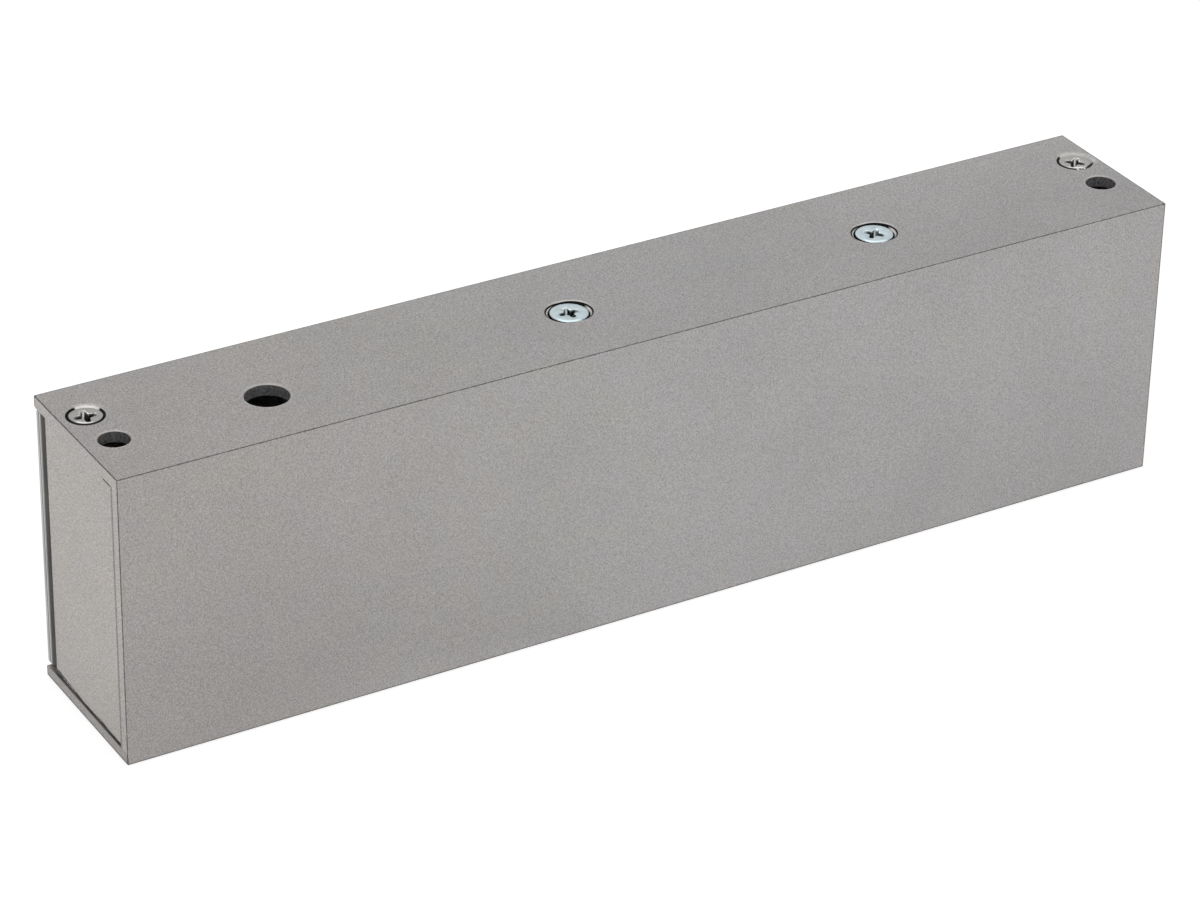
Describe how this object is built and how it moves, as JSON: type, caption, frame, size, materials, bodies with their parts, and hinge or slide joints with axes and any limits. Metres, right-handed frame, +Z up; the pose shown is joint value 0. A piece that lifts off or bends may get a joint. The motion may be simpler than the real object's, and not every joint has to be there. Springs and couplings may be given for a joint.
{
  "type": "electromagnetic lock",
  "caption": "Long box-shaped door magnet in an aluminium channel, with a laminated pole face at the back and a wiring bay under a cable hole.",
  "frame": {"origin": "below the middle of the lock, at its base", "axes": "+X along the lock to the end away from the cable hole, +Y from the plain front face to the pole face, +Z up to the face that mounts against the door frame"},
  "size_m": [0.228, 0.0356, 0.06],
  "materials": {
    "anodised_channel": "fine bead-blasted, satin anodised",
    "anodised_plate": "fine bead-blasted, satin anodised",
    "rear_plate": "satin sheet",
    "partition": "mill finish",
    "nickel_screw": "nickel plated",
    "zinc_screw": "bright zinc plated, slightly blue",
    "lamination_steel": "ground laminations",
    "clamp_steel": "ground and plated",
    "former_plastic": "moulded nylon",
    "enamelled_copper": "enamelled copper wire",
    "insulating_tape": "polyester tape",
    "lead_red": "PVC insulation",
    "lead_black": "PVC insulation",
    "resin": "cast epoxy, ground flat",
    "board_laminate": "solder resist over glass laminate",
    "brass_pillar": "turned",
    "terminal_plastic": "moulded nylon",
    "clamp_brass": "tinned brass",
    "varistor_coat": "dipped coating",
    "diode_case": "moulded case"
  },
  "bodies": {
    "root": {"housing": "anodised_channel", "end_plate_left": "anodised_plate", "end_plate_right": "anodised_plate", "end_screws": "nickel_screw", "core_screws": "zinc_screw", "terminal_cover": "rear_plate", "rear_blank": "rear_plate", "cover_screws": "nickel_screw", "bay_wall": "partition", "end_dam": "partition", "core_stack": "lamination_steel", "core_clamp_plates": "clamp_steel", "core_rivets": "clamp_steel", "coil_former": "former_plastic", "coil_winding": "enamelled_copper", "coil_wrap": "insulating_tape", "coil_lead_upper": "lead_red", "coil_lead_lower": "lead_black", "potting_resin": "resin", "circuit_board": "board_laminate", "board_standoffs": "brass_pillar", "board_screws": "zinc_screw", "terminal_block": "terminal_plastic", "terminal_clamps": "clamp_brass", "terminal_screws": "nickel_screw", "varistor": "varistor_coat", "suppression_diode": "diode_case"}
  },
  "joints": []
}
